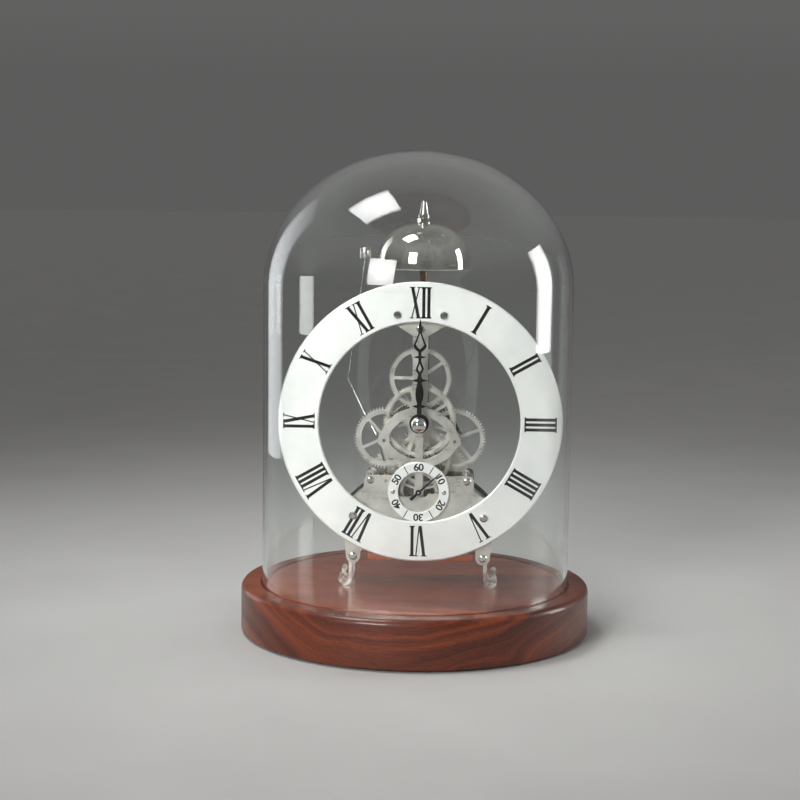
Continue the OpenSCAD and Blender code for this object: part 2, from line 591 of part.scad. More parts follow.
module cannon_pinion() color("silver") difference() {
  union() {
    rod(H, 2.0, -27.2, yb);
    slab(yb, yb + wheel_t, H) pinion_teeth(n_can, m_can, n_min, p_can);
  }
  rod(H, 1.2, -40, 0);
}
module minute_wheel() color("silver") slab(yb, yb + wheel_t, MW) difference() {
  wheel_teeth(n_min, m_can, n_can, p_min);
  windows(13.3, 3.6, 1.6, 36); pc(2.0, 16);
}
module minute_pinion() color("silver") difference() {
  union() {
    slab(ya, yb, MW) pinion_teeth(n_mp, m_hour, n_hour, p_mp);
    rod(MW, 2.0, yb, yb + wheel_t + 0.5);
  }
  rod(MW, 1.25, -30, 0);
}
module minute_stud() color("silver") union() {
  rod(MW, 1.2, f0, -11.5);
  rod(MW, 1.9, f1, f1 + 0.4);
  rod(MW, 2.0, -11.5, -10.8);
}
module hour_wheel() color("silver") difference() {
  union() {
    slab(ya, ya + wheel_t, H) difference() {
      wheel_teeth(n_hour, m_hour, n_mp, p_hour);
      windows(16, 4.2, 1.5, 34); pc(2.6, 16);
    }
    rod(H, 3.0, -25.5, ya + wheel_t);
  }
  rod(H, 2.08, -40, 0);
}
module third_wheel() color("silver") slab(yd, yd + 0.9, TH) difference() {
  wheel_teeth(n_tw, m_tw, n_fp, p_tw);
  windows(11.9, 2.6, 1.3, 15); pc(0.9, 16);
}
module third_arbor() color("silver") union() {
  rod(TH, 0.55, f0 + 0.9, b1 - 0.1);
  rod(TH, 0.9, f1 + 0.3, b0 - 0.3);
  slab(yc - 0.2, yc + wheel_t + 0.2, TH) pinion_teeth(n_tp, m_cw, n_cw, p_tp);
}
module fourth_wheel() color("silver") slab(yb, yb + 0.9, S4) difference() {
  wheel_teeth(n_fw, m_fw, n_ep, p_fw);
  windows(8, 2.0, 1.0, 15); pc(0.85, 16);
}
module seconds_arbor() color("silver") union() {
  rod(S4, 0.55, -22.1, f0 - 0.4);
  rod(S4, 0.85, f0 - 0.4, b0 - 0.3);
  rod(S4, 0.55, b0 - 0.3, b1 - 0.1);
  slab(yd - 0.2, yd + 1.1, S4) pinion_teeth(n_fp, m_tw, n_tw, p_fp);
}
module escape_wheel() color("silver") slab(yd, yd + 0.8, ESC) difference() {
  poly([for (i = [0:14], p = [pol(5.0, 0), pol(6.3, 3.4), pol(6.35, 7.4), pol(5.1, 8)])
    let (a = i * 24) [p[0] * cos(a) - p[1] * sin(a), p[0] * sin(a) + p[1] * cos(a)]]);
  windows(4.2, 1.7, 0.8, 0); pc(0.8, 16);
}
module escape_arbor() color("silver") union() {
  rod(ESC, 0.55, f0 + 0.9, b1 - 0.1);
  rod(ESC, 0.8, f1 + 0.3, b0 - 0.3);
  slab(yb - 0.2, yb + 1.1, ESC) pinion_teeth(n_ep, m_fw, n_fw, p_ep);
}
pa = -20;                         // line of centres from escape wheel to balance
module pallet_fork() color("silver") union() {
  slab(yd, yd + 0.8, PAL) difference() {
    rotate(pa) union() {
      circle(r = 1.5, $fn = 32);
      for (s = [-1, 1]) poly([[0.3, 0], [-0.9, s * 5.2], [-3.15, s * 5.75],
        [-3.45, s * 5.0], [-1.6, s * 4.4], [-0.7, 0]]);
      translate([0, -0.45]) square([5.6, 0.9]);
      poly([[4.6, -0.45], [5.5, -1.3], [6.4, -1.3], [6.4, -0.5], [5.8, -0.4], [5.8, 0.4],
        [6.4, 0.5], [6.4, 1.3], [5.5, 1.3], [4.6, 0.45]]);
    }
  }
  rod(PAL, 0.55, f0 + 0.9, b1 - 0.1);
  rod(PAL, 0.8, f1 + 0.3, b0 - 0.3);
}
module balance_wheel() color("gold") slab(-7.0, -5.7, BAL) difference() {
  union() {
    difference() { circle(r = 7.2, $fn = 64); circle(r = 5.8, $fn = 64); }
    for (a = [0, 60, 120]) rotate(a) translate([-6.2, -0.5]) square([12.4, 1]);
    circle(r = 1.8, $fn = 32);
  }
  circle(r = 0.9, $fn = 32);
}
module balance_staff() color("silver") union() {
  rod(BAL, 0.55, f0 + 0.9, b1 - 0.1);
  rod(BAL, 0.9, f1 + 0.3, b0 - 0.3);
  rod(BAL, 2.3, -8.0, -7.3);
  rod(BAL + 1.8 * [cos(160), sin(160)], 0.3, -9.4, -8.0);
}
module hairspring() color("steelblue") slab(-14.4, -13.8, BAL) {
  spiral(0.95, 5.6, 6, 0.16, 16, 0);
  translate([5.5, -0.1]) square([0.85, 0.35]);
}

wood_base();
felt_pad();
glass_dome();
chapter_ring();
dial_spacers();
dial_screws();
seconds_dial();
seconds_dial_screws();
minute_hand();
hour_hand();
seconds_hand();
hand_nut();
front_plate();
middle_bridge();
rear_plate();
plate_pillars();
bridge_pillars();
plate_screws();
front_legs();
rear_legs();
leg_screws();
bell_post();
bell();
bell_nut();
foot_screws();
hammer_arbor();
hammer_arm();
hammer_head();
hammer_spring();
great_wheel();
barrel_drum();
barrel_cover();
mainspring();
barrel_arbor();
ratchet_wheel();
click();
click_spring();
lower_bar();
second_wheel();
second_arbor();
centre_wheel();
centre_arbor();
cannon_pinion();
minute_wheel();
minute_stud();
minute_pinion();
hour_wheel();
strike_wheel();
strike_arbor();
strike_pins();
third_wheel();
third_arbor();
fourth_wheel();
seconds_arbor();
escape_wheel();
escape_arbor();
pallet_fork();
balance_wheel();
balance_staff();
hairspring();
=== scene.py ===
import math

import bmesh
import bpy
from mathutils import Matrix, Vector


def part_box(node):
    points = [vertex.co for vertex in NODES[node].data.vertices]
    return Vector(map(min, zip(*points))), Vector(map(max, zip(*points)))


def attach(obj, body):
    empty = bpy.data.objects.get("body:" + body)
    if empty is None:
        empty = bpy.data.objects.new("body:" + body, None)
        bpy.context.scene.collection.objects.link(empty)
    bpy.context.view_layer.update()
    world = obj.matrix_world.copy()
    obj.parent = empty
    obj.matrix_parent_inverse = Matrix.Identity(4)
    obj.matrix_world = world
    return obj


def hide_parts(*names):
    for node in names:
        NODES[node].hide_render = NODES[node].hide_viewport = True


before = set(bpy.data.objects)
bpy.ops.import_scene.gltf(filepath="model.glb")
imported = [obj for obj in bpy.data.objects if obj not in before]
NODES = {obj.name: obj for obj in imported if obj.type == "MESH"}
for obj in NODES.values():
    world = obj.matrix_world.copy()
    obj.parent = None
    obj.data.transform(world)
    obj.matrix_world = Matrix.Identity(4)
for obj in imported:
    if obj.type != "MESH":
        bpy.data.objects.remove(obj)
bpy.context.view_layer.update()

MM = 0.001

# the movement's place, in millimetres
MX, HZ = 2.0, 111.0
HAND = (MX, HZ)
TOP = 25.5


def srgb(r, g, b):
    def lin(c):
        c /= 255
        return c / 12.92 if c <= 0.04045 else ((c + 0.055) / 1.055) ** 2.4
    return (lin(r), lin(g), lin(b), 1.0)


# ---------------------------------------------------------------- node helpers
class Mat:
    """A Principled material with short ways to add nodes."""

    def __init__(self, name, **sockets):
        self.m = bpy.data.materials.new(name)
        self.m.use_nodes = True
        self.nt = self.m.node_tree
        self.b = self.nt.nodes["Principled BSDF"]
        self.out = self.nt.nodes["Material Output"]
        for k, v in sockets.items():
            self.b.inputs[k.replace("_", " ")].default_value = v
        self.tc = None

    def node(self, kind, **props):
        n = self.nt.nodes.new(kind)
        for k, v in props.items():
            setattr(n, k, v)
        return n

    def link(self, a, b):
        self.nt.links.new(a, b)

    def coords(self, scale=(1, 1, 1), loc=(0, 0, 0), rot=(0, 0, 0)):
        """Object coordinates in millimetres, moved, turned and scaled."""
        if self.tc is None:
            self.tc = self.node("ShaderNodeTexCoord")
        mp = self.node("ShaderNodeMapping")
        mp.inputs["Scale"].default_value = [1000 * s for s in scale]
        mp.inputs["Location"].default_value = [-s * o for s, o in zip(scale, loc)]
        mp.inputs["Rotation"].default_value = rot
        self.link(self.tc.outputs["Object"], mp.inputs["Vector"])
        return mp.outputs["Vector"]

    def noise(self, vec, scale, detail=3.0, rough=0.5, distortion=0.0):
        n = self.node("ShaderNodeTexNoise")
        n.inputs["Scale"].default_value = scale
        n.inputs["Detail"].default_value = detail
        n.inputs["Roughness"].default_value = rough
        n.inputs["Distortion"].default_value = distortion
        self.link(vec, n.inputs["Vector"])
        return n.outputs["Fac"]

    def ramp(self, fac, stops, interpolation="LINEAR"):
        n = self.node("ShaderNodeValToRGB")
        r = n.color_ramp
        r.interpolation = interpolation
        while len(r.elements) < len(stops):
            r.elements.new(0.5)
        for e, (p, c) in zip(r.elements, stops):
            e.position = p
            e.color = c if len(c) == 4 else (*c, 1)
        self.link(fac, n.inputs["Fac"])
        return n.outputs["Color"]

    def remap(self, fac, a, b, c, d):
        n = self.node("ShaderNodeMapRange")
        for i, v in enumerate((a, b, c, d)):
            n.inputs[i + 1].default_value = v
        self.link(fac, n.inputs[0])
        return n.outputs[0]

    def math(self, op, a, b=None):
        n = self.node("ShaderNodeMath", operation=op)
        for i, v in enumerate((a, b)):
            if v is None:
                continue
            if isinstance(v, (int, float)):
                n.inputs[i].default_value = v
            else:
                self.link(v, n.inputs[i])
        return n.outputs[0]

    def mix(self, fac, a, b, kind="MIX"):
        n = self.node("ShaderNodeMix", data_type="RGBA", blend_type=kind)
        for sock, v in ((n.inputs[0], fac), (n.inputs[6], a), (n.inputs[7], b)):
            if isinstance(v, (int, float, tuple)):
                sock.default_value = v
            else:
                self.link(v, sock)
        return n.outputs[2]

    def bump(self, height, dist_mm, strength=1.0, normal=None):
        n = self.node("ShaderNodeBump")
        n.inputs["Strength"].default_value = strength
        n.inputs["Distance"].default_value = dist_mm * MM
        self.link(height, n.inputs["Height"])
        if normal is not None:
            self.link(normal, n.inputs["Normal"])
        return n.outputs["Normal"]

    def put(self, name, value):
        self.link(value, self.b.inputs[name])


def radial(m, centre, plane="XZ"):
    """Distance in millimetres from an axis through centre, square to plane."""
    vec = m.coords()
    sep = m.node("ShaderNodeSeparateXYZ")
    m.link(vec, sep.inputs[0])
    a = m.math("SUBTRACT", sep.outputs[plane[0]], float(centre[0]))
    b = m.math("SUBTRACT", sep.outputs[plane[1]], float(centre[1]))
    return m.math("SQRT", m.math("ADD", m.math("MULTIPLY", a, a), m.math("MULTIPLY", b, b))), a, b


def turned_metal(name, colour, rough, centre, pitch=0.5, depth=0.0012, tint=None, plane="XZ"):
    """Metal with the fine rings a lathe or a lapping disc leaves round centre."""
    m = Mat(name, Metallic=1.0, Roughness=rough)
    r, a, b = radial(m, centre, plane)
    comb = m.node("ShaderNodeCombineXYZ")
    m.link(r, comb.inputs[0])
    ring = m.noise(comb.outputs[0], 1 / pitch, 4, 0.7)
    fine = m.noise(m.coords(), 0.9, 4, 0.6)
    wear = m.noise(m.coords(), 0.16, 3, 0.55)
    h = m.math("ADD", m.math("MULTIPLY", ring, 0.8), m.math("MULTIPLY", fine, 0.2))
    m.put("Normal", m.bump(h, depth))
    m.put("Roughness", m.remap(m.math("ADD", m.math("MULTIPLY", ring, 0.4), m.math("MULTIPLY", wear, 0.6)),
                               0.3, 0.7, rough * 0.8, rough * 1.3))
    dark = tuple(c * 0.86 for c in colour[:3]) + (1,)
    if tint is not None:
        dark = tint
    m.put("Base Color", m.ramp(wear, [(0.35, dark), (0.62, colour)]))
    return m.m


def brushed_metal(name, colour, rough, along="X", depth=0.0012, dark=0.85, spots=0.0):
    """Metal brushed in straight lines along an axis, with faint clouding."""
    m = Mat(name, Metallic=1.0, Roughness=rough)
    s = [3.2, 3.2, 3.2]
    s["XYZ".index(along)] = 0.05
    lines = m.noise(m.coords(tuple(s)), 1.0, 4, 0.65)
    cloud = m.noise(m.coords(), 0.09, 4, 0.6)
    m.put("Normal", m.bump(lines, depth))
    m.put("Roughness", m.remap(m.math("ADD", m.math("MULTIPLY", lines, 0.5), m.math("MULTIPLY", cloud, 0.5)),
                               0.3, 0.7, rough * 0.75, rough * 1.3))
    d = tuple(c * dark for c in colour[:3]) + (1,)
    m.put("Base Color", m.ramp(cloud, [(0.38, d), (0.62, colour)]))
    return m.m


def polished_metal(name, colour, rough, depth=0.0015, dark=0.92):
    """Bright metal with a very faint unevenness and handling haze."""
    m = Mat(name, Metallic=1.0, Roughness=rough)
    haze = m.noise(m.coords(), 0.22, 4, 0.6)
    fine = m.noise(m.coords(), 2.2, 3, 0.5)
    m.put("Roughness", m.remap(haze, 0.35, 0.7, rough * 0.6, rough * 1.6))
    m.put("Normal", m.bump(fine, depth))
    d = tuple(c * dark for c in colour[:3]) + (1,)
    m.put("Base Color", m.ramp(haze, [(0.4, d), (0.6, colour)]))
    return m.m


# ---------------------------------------------------------------- materials
NICKEL = srgb(226, 223, 217)
# the same nickel as the plates made darker: painted shade for the middle bridge behind the front plate
NICKEL_SHADED = srgb(186, 183, 178)
STEEL = srgb(226, 226, 225)


def walnut():
    m = Mat("walnut", Roughness=0.42, IOR=1.5)
    m.b.inputs["Specular IOR Level"].default_value = 0.35
    m.b.inputs["Coat Weight"].default_value = 0.32
    m.b.inputs["Coat Roughness"].default_value = 0.07
    m.b.inputs["Coat IOR"].default_value = 1.5
    # growth rings of a board cut from a log whose heart lies low behind it:
    # lines run mostly along X, and bow where the cut nears the heart
    warp = m.noise(m.coords((0.35, 1, 1)), 0.021, 3, 0.55)
    vec = m.coords((0.055, 1.0, 1.0), loc=(0, 0, 0))
    sep = m.node("ShaderNodeSeparateXYZ")
    m.link(vec, sep.inputs[0])
    y = m.math("ADD", sep.outputs["Y"], m.math("MULTIPLY", warp, 44.0))
    z = m.math("ADD", m.math("MULTIPLY", sep.outputs["Z"], 1.15), 60.0)
    r = m.math("SQRT", m.math("ADD", m.math("MULTIPLY", y, y), m.math("MULTIPLY", z, z)))
    comb = m.node("ShaderNodeCombineXYZ")
    m.link(r, comb.inputs[0])
    m.link(m.math("MULTIPLY", sep.outputs["X"], 0.35), comb.inputs[1])
    rings = m.noise(comb.outputs[0], 0.23, 4, 0.62)
    broad = m.noise(comb.outputs[0], 0.055, 2, 0.5)
    streak = m.noise(m.coords((0.02, 1.5, 1.5)), 0.9, 4, 0.7)
    g = m.math("ADD", m.math("MULTIPLY", rings, 0.52), m.math("MULTIPLY", broad, 0.26))
    g = m.math("ADD", g, m.math("MULTIPLY", streak, 0.22))
    col = m.ramp(g, [(0.30, srgb(32, 12, 6)), (0.43, srgb(68, 27, 12)),
                     (0.52, srgb(98, 41, 18)), (0.62, srgb(128, 58, 27)), (0.74, srgb(156, 80, 40))])
    # pores: short dark dashes along the grain
    pore = m.node("ShaderNodeTexVoronoi", feature="F1")
    pore.inputs["Scale"].default_value = 1.0
    m.link(m.coords((0.16, 1.5, 1.5)), pore.inputs["Vector"])
    p = m.remap(pore.outputs["Distance"], 0.10, 0.30, 0.0, 1.0)
    where = m.remap(m.noise(m.coords((0.03, 0.4, 0.4)), 0.6, 2), 0.40, 0.62, 0.0, 1.0)
    dash = m.math("MULTIPLY", m.math("SUBTRACT", 1.0, p), where)
    col = m.mix(m.math("MULTIPLY", dash, 0.62), col, srgb(38, 16, 10))
    m.put("Base Color", col)
    hgt = m.math("SUBTRACT", m.math("MULTIPLY", g, 0.35), dash)
    m.put("Normal", m.bump(hgt, 0.025, 0.6))
    m.put("Roughness", m.remap(m.noise(m.coords(), 0.05, 4), 0.35, 0.65, 0.38, 0.5))
    fine = m.noise(m.coords(), 0.6, 3)
    m.link(m.bump(fine, 0.004, 0.5), m.b.inputs["Coat Normal"])
    return m.m


def felt():
    m = Mat("felt", Roughness=0.95)
    m.b.inputs["Sheen Weight"].default_value = 0.5
    m.b.inputs["Sheen Roughness"].default_value = 0.5
    n = m.noise(m.coords(), 1.6, 5, 0.7)
    c = m.noise(m.coords(), 0.07, 4, 0.6)
    col = m.ramp(n, [(0.3, srgb(14, 30, 20)), (0.7, srgb(42, 70, 48))])
    m.put("Base Color", m.mix(m.remap(c, 0.35, 0.65, 0.0, 0.35), col, srgb(26, 40, 30)))
    m.put("Normal", m.bump(n, 0.25))
    return m.m


def glass():
    """Clear blown glass: bends and mirrors light, lets lamps through."""
    m = Mat("dome_glass", Roughness=0.0, IOR=1.47)
    m.b.inputs["Transmission Weight"].default_value = 1.0
    m.b.inputs["Base Color"].default_value = (0.965, 0.985, 0.975, 1)
    w = m.noise(m.coords((1, 1, 0.45)), 0.02, 2, 0.4)
    m.put("Normal", m.bump(w, 0.55, 0.35))
    tr = m.node("ShaderNodeBsdfTransparent")
    tr.inputs["Color"].default_value = (0.95, 0.965, 0.96, 1)
    lp = m.node("ShaderNodeLightPath")
    mx = m.node("ShaderNodeMixShader")
    m.link(lp.outputs["Is Shadow Ray"], mx.inputs[0])
    m.link(m.b.outputs[0], mx.inputs[1])
    m.link(tr.outputs[0], mx.inputs[2])
    m.link(mx.outputs[0], m.out.inputs["Surface"])
    return m.m


def dial(name, centre):
    """Silvered dial metal: pale, satin, with fine circular graining."""
    m = Mat(name, Metallic=0.72, Roughness=0.4)
    r, a, b = radial(m, centre)
    ang = m.math("ARCTAN2", a, b)
    comb = m.node("ShaderNodeCombineXYZ")
    m.link(r, comb.inputs[0])
    m.link(m.math("MULTIPLY", ang, 2.0), comb.inputs[1])
    grain = m.noise(comb.outputs[0], 5.5, 5, 0.7)
    cloud = m.noise(m.coords(), 0.035, 4, 0.55)
    m.put("Base Color", m.ramp(m.math("ADD", m.math("MULTIPLY", grain, 0.4), m.math("MULTIPLY", cloud, 0.6)),
                               [(0.36, srgb(224, 225, 226)), (0.6, srgb(242, 242, 241))]))
    m.put("Roughness", m.remap(grain, 0.3, 0.7, 0.34, 0.46))
    m.put("Normal", m.bump(grain, 0.0035))
    return m.m


def black(name, rough=0.3, tone=11, gloss=0.5):
    m = Mat(name, Roughness=rough, IOR=1.5)
    m.b.inputs["Specular IOR Level"].default_value = gloss
    n = m.noise(m.coords(), 0.9, 4, 0.6)
    m.put("Base Color", m.ramp(n, [(0.35, srgb(tone - 3, tone - 3, tone - 3)), (0.65, srgb(tone + 9, tone + 8, tone + 8))]))
    m.put("Roughness", m.remap(n, 0.3, 0.7, rough * 0.8, rough * 1.35))
    m.put("Normal", m.bump(m.noise(m.coords(), 3.0, 3), 0.004))
    return m.m


def heat_blue(name):
    m = Mat(name, Metallic=1.0, Roughness=0.25)
    n = m.noise(m.coords(), 0.7, 3)
    m.put("Base Color", m.ramp(n, [(0.35, srgb(40, 58, 92)), (0.65, srgb(70, 92, 130))]))
    m.put("Roughness", m.remap(n, 0.3, 0.7, 0.18, 0.32))
    return m.m


def bronze_post():
    m = Mat("post_bronze", Metallic=1.0, Roughness=0.3)
    n = m.noise(m.coords((1, 1, 0.2)), 0.5, 5, 0.65)
    m.put("Base Color", m.ramp(n, [(0.32, srgb(58, 46, 40)), (0.5, srgb(92, 74, 62)), (0.68, srgb(124, 100, 82))]))
    m.put("Roughness", m.remap(n, 0.3, 0.7, 0.2, 0.42))
    m.put("Normal", m.bump(m.noise(m.coords((1, 1, 8.0)), 0.8, 4, 0.7), 0.006))
    return m.m


M = {
    "walnut": walnut(), "felt": felt(), "glass": glass(),
    "plate": brushed_metal("plate_nickel", NICKEL, 0.3, "X"),
    # middle bridge: plate nickel in the darker copy, painted shade because it sits behind the front plate
    "plate_v": brushed_metal("bridge_nickel_shaded", NICKEL_SHADED, 0.28, "Z"),
    "nickel": polished_metal("nickel", srgb(226, 224, 220), 0.2),
    "steel": polished_metal("polished_steel", STEEL, 0.12),
    "foot": polished_metal("foot_nickel", srgb(238, 236, 232), 0.3),
    "screw": polished_metal("screw_steel", srgb(232, 230, 226), 0.1),
    "chrome": polished_metal("bell_chrome", srgb(236, 234, 228), 0.045, 0.0008, 0.97),
    "ball": polished_metal("ball_chrome", srgb(230, 230, 228), 0.06, 0.001, 0.95),
    "post": bronze_post(),
    "copper": brushed_metal("copper", srgb(222, 132, 100), 0.22, "X"),
    "brass": brushed_metal("brass", srgb(214, 176, 104), 0.25, "X"),
    "blue": heat_blue("spring_blue"),
    "hand": black("hand_black", 0.22, 8, 0.4),
    "ink": black("dial_ink", 0.6, 6, 0.12),
    # rear plate: the same nickel painted much darker, painted shade for the plate at the back of the movement
    "rear": brushed_metal("rear_nickel_shaded", srgb(158, 156, 153), 0.22, "X"),
    "dial": dial("dial_silver", HAND),
    "sub": dial("seconds_silver", (MX, HZ - 35.7)),
    "spring": polished_metal("spring_steel", srgb(200, 202, 206), 0.18),
    "drum": turned_metal("drum_nickel", NICKEL, 0.24, (MX, HZ - 33)),
}

# wheels: lapped round their own axes
CENTRES = {
    "great_wheel": (0, -33), "barrel_cover": (0, -33), "ratchet_wheel": (0, -33),
    "second_wheel": (17.9, -9.8), "strike_wheel": (-17.9, -9.8),
    "centre_wheel": (0, 0), "hour_wheel": (0, 0), "cannon_pinion": (0, 0),
    "minute_wheel": (0, 21.8), "minute_pinion": (0, 21.8),
    "third_wheel": (2.202, -20.13), "fourth_wheel": (0, -35.7),
    "escape_wheel": (5.4, -45.053), "balance_wheel": (21.939, -51.073),
}
for n, c in CENTRES.items():
    tone = {"balance_wheel": srgb(222, 190, 128), "escape_wheel": srgb(226, 208, 170),
            "ratchet_wheel": STEEL, "cannon_pinion": STEEL, "minute_pinion": STEEL}.get(n, NICKEL)
    M[n] = turned_metal("metal_" + n, tone, 0.3 if n != "balance_wheel" else 0.16, (MX + c[0], HZ + c[1]))

USE = {
    "chapter_ring": "dial", "seconds_dial": "sub", "dial_spacers": "nickel",
    "dial_screws": "screw", "seconds_dial_screws": "screw", "minute_hand": "hand",
    "hour_hand": "hand", "seconds_hand": "hand", "hand_nut": "ball",
    "front_plate": "plate", "middle_bridge": "plate_v", "rear_plate": "rear",
    "plate_pillars": "steel", "bridge_pillars": "steel", "plate_screws": "screw",
    "front_legs": "foot", "rear_legs": "foot", "leg_screws": "screw",
    "bell_post": "post", "bell_nut": "chrome", "foot_screws": "screw",
    "hammer_arbor": "steel", "hammer_arm": "spring", "hammer_head": "nickel",
    "hammer_spring": "brass", "barrel_drum": "drum", "mainspring": "blue",
    "barrel_arbor": "steel", "click": "steel", "click_spring": "blue",
    "lower_bar": "copper", "second_arbor": "steel", "centre_arbor": "steel",
    "minute_stud": "steel", "strike_arbor": "steel", "strike_pins": "steel",
    "third_arbor": "steel", "seconds_arbor": "steel", "escape_arbor": "steel",
    "pallet_fork": "steel", "balance_staff": "steel", "hairspring": "blue",
}
for n, o in NODES.items():
    key = n if n in CENTRES else USE.get(n)
    if key is None:
        continue
    o.data.materials.clear()
    o.data.materials.append(M[key])


# ---------------------------------------------------------------- mesh helpers
def obj_from(name, bm, mats, body, auto=35.0):
    """A mesh object from bm, in metres, shaded smooth but for sharp edges."""
    bmesh.ops.recalc_face_normals(bm, faces=bm.faces)
    for f in bm.faces:
        f.smooth = True
    for e in bm.edges:
        if len(e.link_faces) == 2 and e.calc_face_angle(0) > math.radians(auto):
            e.smooth = False
    me = bpy.data.meshes.new(name)
    bm.to_mesh(me)
    bm.free()
    for m in mats:
        me.materials.append(m)
    o = bpy.data.objects.new(name, me)
    bpy.context.scene.collection.objects.link(o)
    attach(o, body)
    return o


def lathe(prof, n, axis=(0.0, 0.0)):
    """A turned solid round a vertical axis, from a profile of (radius, height) in
    millimetres that runs from axis to axis, or closes on itself as a ring."""
    bm = bmesh.new()
    rings = []
    for r, z in prof:
        if r < 1e-6:
            rings.append([bm.verts.new((axis[0] * MM, axis[1] * MM, z * MM))])
        else:
            rings.append([bm.verts.new(((axis[0] + r * math.cos(2 * math.pi * k / n)) * MM,
                                        (axis[1] + r * math.sin(2 * math.pi * k / n)) * MM, z * MM))
                          for k in range(n)])
    pairs = list(zip(rings, rings[1:]))
    if prof[0][0] > 1e-6:
        pairs.append((rings[-1], rings[0]))
    for a, b in pairs:
        for k in range(n):
            q = (k + 1) % n
            if len(a) == 1 and len(b) > 1:
                bm.faces.new((a[0], b[k], b[q]))
            elif len(b) == 1 and len(a) > 1:
                bm.faces.new((a[k], b[0], a[q]))
            elif len(a) > 1:
                bm.faces.new((a[k], b[k], b[q], a[q]))
    return bm


def arc(cx, cz, r, a0, a1, n):
    return [(cx + r * math.cos(math.radians(a0 + (a1 - a0) * i / n)),
             cz + r * math.sin(math.radians(a0 + (a1 - a0) * i / n))) for i in range(n + 1)]


# ---------------------------------------------------------------- base
lo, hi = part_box("wood_base")
R_BASE = (hi.x - lo.x) / 2 / MM
prof = [(0, 1.0), (R_BASE - 1.2, 1.0)] + arc(R_BASE - 1.2, 2.2, 1.2, -90, 0, 6)
prof += arc(R_BASE - 3.2, TOP - 3.2, 3.2, 0, 90, 18)
prof += [(80.6, TOP)] + arc(80.6, TOP - 0.6, 0.6, 90, 180, 5)
prof += arc(79.6, TOP - 3.1, 0.4, 0, -90, 4) + arc(76.6, TOP - 3.1, 0.4, -90, -180, 4)
prof += arc(75.6, TOP - 0.6, 0.6, 0, 90, 5) + [(60, TOP), (40, TOP), (20, TOP), (0, TOP)]
base = obj_from("base_turned", lathe(prof, 320), [M["walnut"]], "root")
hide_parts("wood_base")

prof = [(0, 0.0), (86.4, 0.0)] + arc(86.4, 0.5, 0.5, -90, 90, 8) + [(0, 1.0)]
pad = obj_from("felt_disc", lathe(prof, 192), [M["felt"]], "root")
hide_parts("felt_pad")

# ---------------------------------------------------------------- dome
R, T, CROWN, TOPZ, B = 79.2, 2.2, 178.0, 247.5, 69.5
BOT = TOP - 3.5 + 0.3


def crown(r, b, n=60):
    return [(r * math.sin(math.pi / 2 * i / n), CROWN + b * math.cos(math.pi / 2 * i / n)) for i in range(n + 1)]


out = crown(R, B)
inn = crown(R - T, B - T)
zs = [CROWN - (CROWN - BOT - T / 2) * i / 24 for i in range(1, 25)]
prof = out + [(R, z) for z in zs] + arc(R - T / 2, BOT + T / 2, T / 2, 0, -180, 10)[1:]
prof += [(R - T, z) for z in reversed(zs[:-1])] + list(reversed(inn))
prof[0] = (0.0, TOPZ)
prof[-1] = (0.0, TOPZ - T)
dome = obj_from("dome_glass", lathe(prof, 256), [M["glass"]], "dome", 60)
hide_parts("glass_dome")

# ---------------------------------------------------------------- bell
BY, BZ, BR, BH = 11.5, 187.0, 24.2, 23.5


def bell_line(r, h, n, k=2.45):
    """The bell's outline from its crown hole out and down to the rim."""
    pts = []
    for i in range(n + 1):
        t = math.pi / 2 * i / n
        x, z = r * math.sin(t) ** (2 / k), h * math.cos(t) ** (2 / k) if i < n else 0.0
        if x > 2.2:
            pts.append((x, z))
    return pts


outer = bell_line(BR, BH, 90)
inner = bell_line(BR - 1.0, BH - 1.0, 90)
outer = [(x, z) for x, z in outer if z > 0.6]
inner = [(x, z) for x, z in inner if z > 0.6]
prof = [(1.7, BH - 0.15), (1.9, BH)] + outer + [(BR, 0.5), (BR - 0.12, 0.16), (BR - 0.4, 0), (BR - 0.7, 0.04),
                                                (BR - 0.95, 0.3)] + list(reversed(inner)) + [(1.9, BH - 1.0), (1.7, BH - 0.85)]
prof = [(x, BZ + z) for x, z in prof]
bell = obj_from("bell_shell", lathe(prof, 192, (MX, BY)), [M["chrome"]], "root", 50)
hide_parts("bell")

# ---------------------------------------------------------------- numerals
def strip(bm, pts, x0, z0, ang, y_top, thick, thin_to=0.0):
    """A flat convex outline pts (millimetres), turned by ang about (x0, z0) on the
    dial, raised thick in front of plane y_top."""
    c, s = math.cos(ang), math.sin(ang)
    area = sum(pts[i][0] * pts[(i + 1) % len(pts)][1] - pts[(i + 1) % len(pts)][0] * pts[i][1] for i in range(len(pts)))
    if area < 0:
        pts = pts[::-1]

    def place(p, y):
        return bm.verts.new(((x0 + p[0] * c + p[1] * s) * MM, y * MM, (z0 - p[0] * s + p[1] * c) * MM))
    f = [place(p, y_top - thick) for p in pts]
    b = [place(p, y_top) for p in pts]
    bm.faces.new(f)
    bm.faces.new(b[::-1])
    for i in range(len(pts)):
        j = (i + 1) % len(pts)
        bm.faces.new((f[j], f[i], b[i], b[j]))


H_GLYPH, W_I, PITCH_I, W_THIN, SERIF = 15.7, 1.55, 2.55, 0.55, 0.5


def glyph_i(x, w=W_I, ext=0.72):
    """One upright with bracketed serifs."""
    h, parts = H_GLYPH, []
    parts.append([(x - w / 2, 0.2), (x + w / 2, 0.2), (x + w / 2, h - 0.2), (x - w / 2, h - 0.2)])
    for z0, z1, s in ((0, SERIF, 1), (h, h - SERIF, -1)):
        parts.append([(x - w / 2 - ext, z0), (x + w / 2 + ext, z0), (x + w / 2 + ext, z1), (x - w / 2 - ext, z1)])
        for d in (-1, 1):
            parts.append([(x + d * w / 2, z1), (x + d * (w / 2 + 0.45), z1), (x + d * w / 2, z1 + s * 0.55)])
    return parts


def slant(x0, z0, x1, z1, w):
    return [(x0 - w / 2, z0), (x0 + w / 2, z0), (x1 + w / 2, z1), (x1 - w / 2, z1)]


def serif(x, z, w, ext=0.75):
    s = 1 if z < 1 else -1
    return [(x - w / 2 - ext, z), (x + w / 2 + ext, z), (x + w / 2 + ext, z + s * SERIF), (x - w / 2 - ext, z + s * SERIF)]


